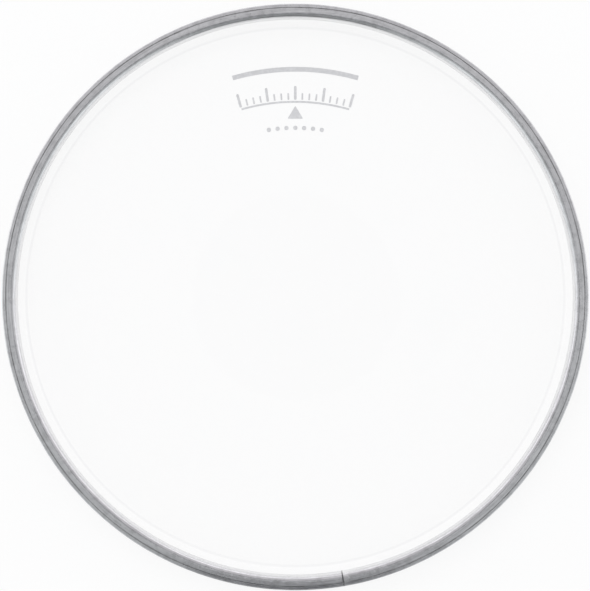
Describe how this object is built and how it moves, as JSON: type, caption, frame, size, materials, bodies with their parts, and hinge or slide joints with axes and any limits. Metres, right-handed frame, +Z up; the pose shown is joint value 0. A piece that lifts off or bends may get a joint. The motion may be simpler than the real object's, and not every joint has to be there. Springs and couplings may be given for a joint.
{
  "type": "drum head",
  "caption": "Clear drum head: a polyester film with a formed collar, its edge folded over a locking ring and clamped in a rolled aluminium hoop.",
  "frame": {"origin": "centre of the playing face, on the surface that the head lies on face down", "axes": "+Z up along the head's axis, from the playing face to the open side where the shell enters; +X to the right and +Y to the top of the picture, which looks straight down into the open side"},
  "size_m": [0.2666, 0.2666, 0.0152],
  "materials": {
    "clear_film": "clear, smooth, glossy",
    "hoop_aluminium": "mill finish with fine draw lines along the hoop",
    "ring_aluminium": "plain mill finish"
  },
  "bodies": {
    "root": {"head_film": "clear_film", "flesh_hoop": "hoop_aluminium", "locking_ring": "ring_aluminium"}
  },
  "joints": []
}
